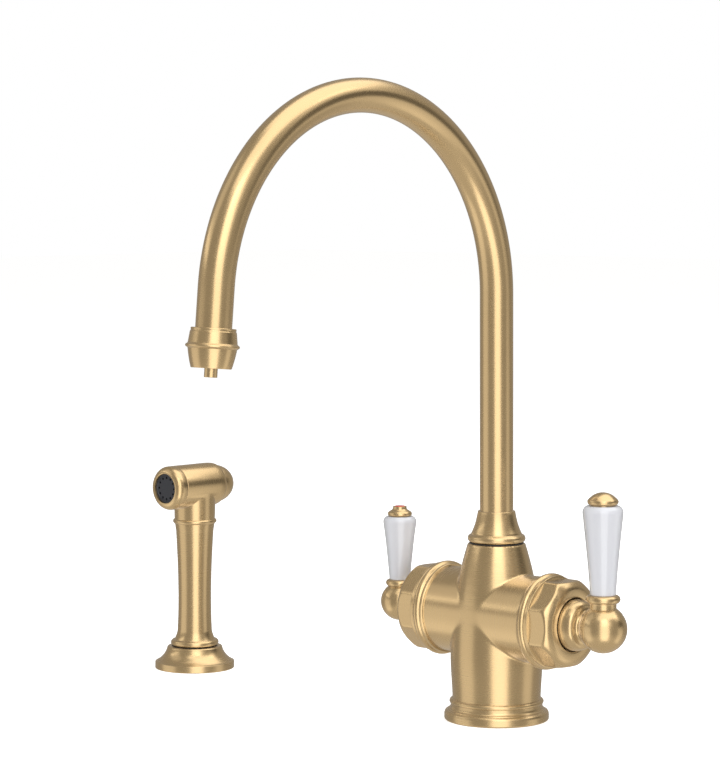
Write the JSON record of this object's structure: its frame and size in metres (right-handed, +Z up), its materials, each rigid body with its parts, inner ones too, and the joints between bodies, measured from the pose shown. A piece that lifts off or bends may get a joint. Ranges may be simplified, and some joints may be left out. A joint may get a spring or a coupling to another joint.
{
  "type": "boiling water tap",
  "caption": "Boiling water tap in satin brass: deck column with two side levers in porcelain, a swivelling swan-neck spout and a separate side spray in its holder.",
  "frame": {"origin": "centre of the column's underside at deck level, on the mouth of the fixing stud's thread", "axes": "+Z up, spout along -Y to the user at rest, lever arms along X, with the plain mixing lever on +X, the boiling lever on -X, and the side spray on -X"},
  "size_m": [0.3838, 0.2812, 0.3809],
  "materials": {
    "satin_brass": "satin, finely brushed round each turned piece",
    "porcelain": "gloss white glaze",
    "seal_rubber": "matt",
    "stainless_steel": "machined",
    "white_plastic": "moulded",
    "black_plastic": "moulded",
    "dark_spray_face": "fine satin",
    "red_button": "gloss",
    "valve_ceramic": "lapped"
  },
  "bodies": {
    "tap_body": {"body": "satin_brass", "base_ring": "satin_brass", "base_gasket": "seal_rubber", "inlet_manifold": "satin_brass", "right_flange_ring": "satin_brass", "right_bonnet_nut": "satin_brass", "right_cartridge": "satin_brass", "right_seal": "seal_rubber", "right_fixed_disc": "valve_ceramic", "left_flange_ring": "satin_brass", "left_bonnet_nut": "satin_brass", "left_cartridge": "satin_brass", "left_seal": "seal_rubber", "left_fixed_disc": "valve_ceramic", "spout_bush": "black_plastic", "spout_stop_screw": "stainless_steel", "spray_holder": "satin_brass", "spray_gasket": "seal_rubber", "spray_liner": "seal_rubber"},
    "spout": {"spout_spigot": "satin_brass", "lower_spout_seal": "seal_rubber", "upper_spout_seal": "seal_rubber", "spout_collar": "satin_brass", "spout_tube": "satin_brass", "boiling_tube": "stainless_steel", "nozzle": "satin_brass", "nozzle_seal": "seal_rubber", "flow_ring": "white_plastic", "boiling_outlet": "satin_brass"},
    "right_lever": {"right_moving_disc": "valve_ceramic", "right_spindle": "satin_brass", "right_spindle_seal": "seal_rubber", "right_lever_hub": "satin_brass", "right_lever_screw": "stainless_steel", "right_grip_stud": "stainless_steel", "right_grip": "porcelain", "right_cap": "satin_brass"},
    "left_lever": {"left_moving_disc": "valve_ceramic", "left_spindle": "satin_brass", "left_spindle_seal": "seal_rubber", "left_lever_hub": "satin_brass", "left_lever_screw": "stainless_steel", "left_grip_stud": "stainless_steel", "left_grip": "porcelain", "left_cap": "satin_brass", "safety_spring": "stainless_steel"},
    "safety_button": {"safety_button": "red_button", "safety_push_rod": "stainless_steel"},
    "spray_handset": {"spray_handle": "satin_brass", "spray_head": "satin_brass", "spray_bezel": "satin_brass", "spray_face": "dark_spray_face", "spray_hose_washer": "seal_rubber", "spray_spring": "stainless_steel"},
    "spray_button": {"spray_button": "satin_brass", "spray_plunger": "stainless_steel", "spray_valve_washer": "seal_rubber"}
  },
  "joints": [
    {"name": "spout_swivel", "type": "hinge", "parent": "tap_body", "child": "spout", "pos_m": [0, 0, 0.1], "axis": [0, 0, 1], "range_deg": [-90, 90]},
    {"name": "right_lever_turn", "type": "hinge", "parent": "tap_body", "child": "right_lever", "pos_m": [0.05, 0, 0.0626], "axis": [1, 0, 0], "range_deg": [0, 90]},
    {"name": "left_lever_turn", "type": "hinge", "parent": "tap_body", "child": "left_lever", "pos_m": [-0.05, 0, 0.0626], "axis": [1, 0, 0], "range_deg": [0, 90]},
    {"name": "safety_button_press", "type": "slide", "parent": "left_lever", "child": "safety_button", "axis": [0, 0, -1], "range_m": [0, 0.002], "stiffness_N_per_m": 900, "springref_m": -0.002, "deforming": ["safety_spring"]},
    {"name": "handset_lift", "type": "slide", "parent": "tap_body", "child": "spray_handset", "axis": [0, 0, 1], "range_m": [0, 0.06]},
    {"name": "thumb_button_press", "type": "slide", "parent": "spray_handset", "child": "spray_button", "axis": [0, -1, 0], "range_m": [0, 0.004], "stiffness_N_per_m": 600, "springref_m": -0.003, "deforming": ["spray_spring"]}
  ]
}
